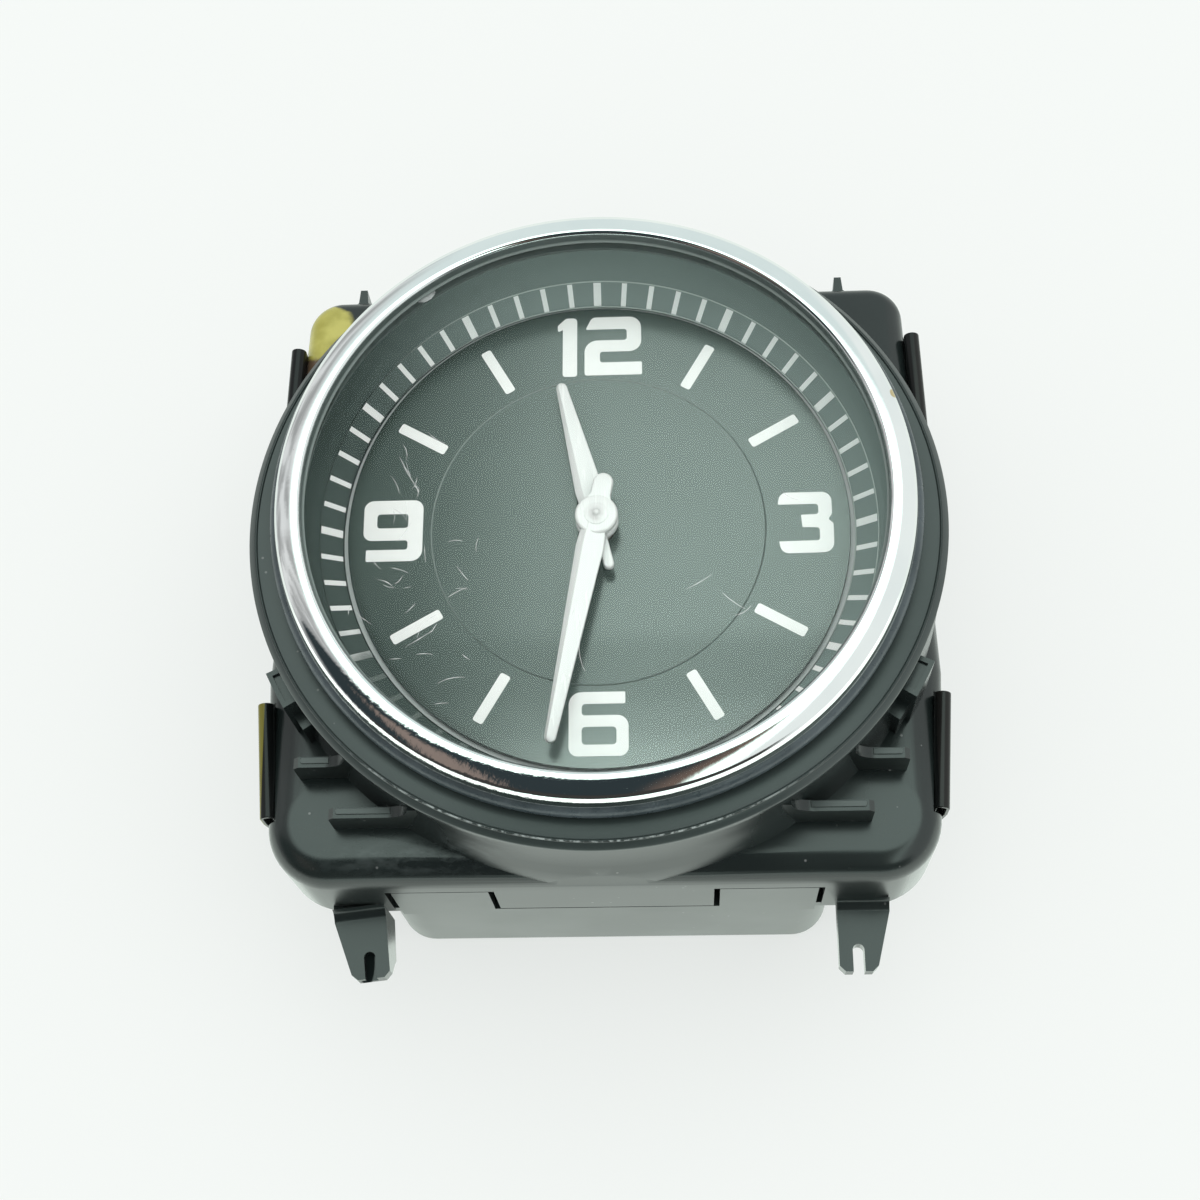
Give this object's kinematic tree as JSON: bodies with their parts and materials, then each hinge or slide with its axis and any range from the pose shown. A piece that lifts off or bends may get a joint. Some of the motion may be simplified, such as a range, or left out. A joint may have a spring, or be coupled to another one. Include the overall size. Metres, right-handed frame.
{
  "type": "dashboard clock",
  "caption": "Round-dial dashboard clock in a snap-together plastic case, with a chrome bezel, geared hands, side spring clips, forked mounting legs and a rear plug socket.",
  "frame": {"origin": "on the dial axis, in the plane of the rear cover's outer face", "axes": "+Z along the dial axis towards the viewer, +Y towards 12 o'clock, +X towards 3 o'clock"},
  "size_m": [0.0728, 0.0816, 0.0441],
  "materials": {
    "housing": "moulded, fine matt",
    "cover": "moulded, fine matt",
    "bezel": "polished",
    "bead": "gloss",
    "lens": "clear, lightly scratched",
    "gasket": "matt",
    "ring": "fine matt",
    "dial": "printed, fine grooves",
    "light_guide": "clear",
    "movement": "moulded",
    "screw": "zinc plated",
    "brass": "cut",
    "steel": "ground",
    "motor": "moulded",
    "gear": "moulded",
    "hand": "satin",
    "board": "solder mask",
    "led": "clear",
    "chip": "matt",
    "can": "drawn",
    "header": "moulded",
    "contact": "plated",
    "clip": "black lacquer, worn"
  },
  "bodies": {
    "case": {"front_housing": "housing", "rear_cover": "cover", "chrome_bezel": "bezel", "bezel_bead": "bead", "lens": "lens", "lens_gasket": "gasket", "minute_ring": "ring", "dial_plate": "dial", "light_guide": "light_guide", "movement_plate": "movement", "movement_bridge": "movement", "movement_screws": "screw", "centre_bush": "brass", "motion_stud": "steel", "reduction_stud": "steel", "stepper_motor": "motor", "circuit_board": "board", "board_screws": "screw", "dial_leds": "led", "microcontroller": "chip", "capacitor": "can", "connector_header": "header", "connector_contacts": "contact", "clip_upper_left": "clip", "clip_upper_right": "clip", "clip_lower_left": "clip", "clip_lower_right": "clip"},
    "minute": {"centre_wheel": "brass", "minute_hand": "hand", "hand_cap": "hand"},
    "hour": {"hour_wheel": "brass", "hour_hand": "hand"},
    "motion": {"motion_wheel": "gear"},
    "reduction": {"reduction_wheel": "gear"},
    "motor": {"motor_pinion": "gear"}
  },
  "joints": [
    {"name": "minute_turn", "type": "hinge", "parent": "case", "child": "minute", "pos_m": [0, 0, 0.0332], "axis": [0, 0, 1], "continuous": true},
    {"name": "hour_turn", "type": "hinge", "parent": "case", "child": "hour", "pos_m": [0, 0, 0.0332], "axis": [0, 0, 1], "continuous": true},
    {"name": "motion_turn", "type": "hinge", "parent": "case", "child": "motion", "pos_m": [0.0048, 0.00831, 0.0267], "axis": [0, 0, 1], "continuous": true},
    {"name": "reduction_turn", "type": "hinge", "parent": "case", "child": "reduction", "pos_m": [-0.00819, -0.00574, 0.0247], "axis": [0, 0, 1], "continuous": true},
    {"name": "motor_turn", "type": "hinge", "parent": "case", "child": "motor", "pos_m": [-0.01608, -0.00861, 0.0247], "axis": [0, 0, 1], "continuous": true}
  ],
  "couplings": [
    {"joint": "hour_turn", "follows": "minute_turn", "ratio": 0.083333},
    {"joint": "motion_turn", "follows": "minute_turn", "ratio": -0.33333},
    {"joint": "reduction_turn", "follows": "minute_turn", "ratio": -4},
    {"joint": "motor_turn", "follows": "minute_turn", "ratio": 12.8}
  ]
}
